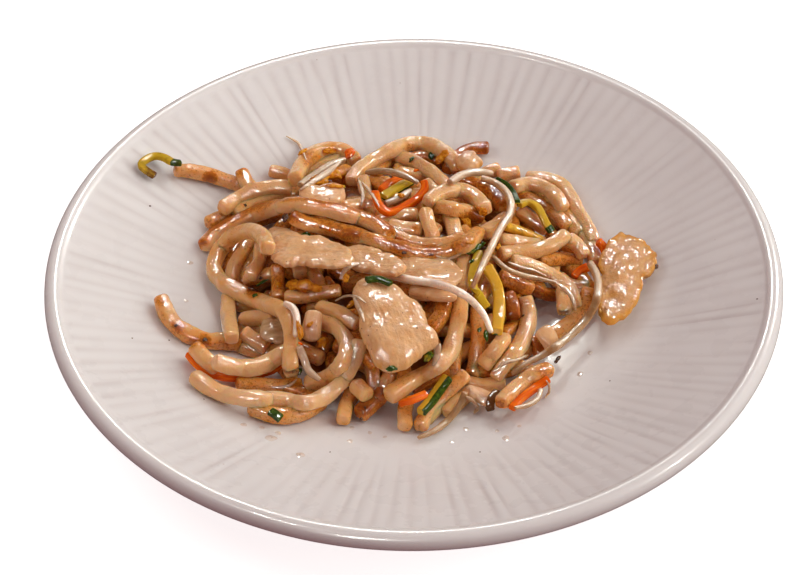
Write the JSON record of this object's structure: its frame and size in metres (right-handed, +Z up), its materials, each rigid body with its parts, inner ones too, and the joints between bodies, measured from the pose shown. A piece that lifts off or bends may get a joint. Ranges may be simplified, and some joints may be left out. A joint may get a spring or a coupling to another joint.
{
  "type": "plate of chicken udon noodles",
  "caption": "Stir-fried udon noodles with chicken, bean sprouts, carrot and courgette heaped on a round white plate with radial fluting.",
  "frame": {"origin": "under the middle of the plate, on the surface that the foot ring stands on", "axes": "+Z up; -Y towards the side of the plate that the picture was taken from; +X to the right of that view"},
  "size_m": [0.2796, 0.2796, 0.046],
  "materials": {
    "glaze": "white glazed porcelain with fine radial fluting",
    "noodles": "oily fried wheat noodle, pale cream to browned",
    "chicken": "cooked chicken, fibrous, pale with golden edges",
    "sprout": "cooked bean sprout, whitish and half clear",
    "carrot": "cooked carrot strip, oily",
    "courgette": "cooked courgette, yellow-green flesh with dark green skin",
    "egg": "fried egg strip",
    "onion": "cooked onion, half clear"
  },
  "bodies": {
    "root": {"carrot_corner": "carrot", "carrot_front": "carrot", "carrot_left": "carrot", "carrot_loop": "carrot", "carrot_right": "carrot", "carrot_stub": "carrot", "carrot_under": "carrot", "chicken_back": "chicken", "chicken_chunk": "chicken", "chicken_far": "chicken", "chicken_front": "chicken", "chicken_left": "chicken", "chicken_low": "chicken", "chicken_right": "chicken", "chicken_shred": "chicken", "chicken_slab": "chicken", "chicken_stub": "chicken", "chicken_top": "chicken", "courgette_arc": "courgette", "courgette_back": "courgette", "courgette_baton": "courgette", "courgette_brown": "courgette", "courgette_dark": "courgette", "courgette_front": "courgette", "courgette_hook": "courgette", "courgette_rind": "courgette", "courgette_rind_middle": "courgette", "courgette_tip": "courgette", "courgette_yellow": "courgette", "egg_back": "egg", "egg_left": "egg", "noodles": "noodles", "onion_left": "onion", "plate": "glaze", "sprout_back": "sprout", "sprout_corner": "sprout", "sprout_far": "sprout", "sprout_front": "sprout", "sprout_inner": "sprout", "sprout_left": "sprout", "sprout_long": "sprout", "sprout_near": "sprout", "sprout_right": "sprout", "sprout_ring": "sprout", "sprout_thin": "sprout", "sprout_top": "sprout"}
  },
  "joints": []
}
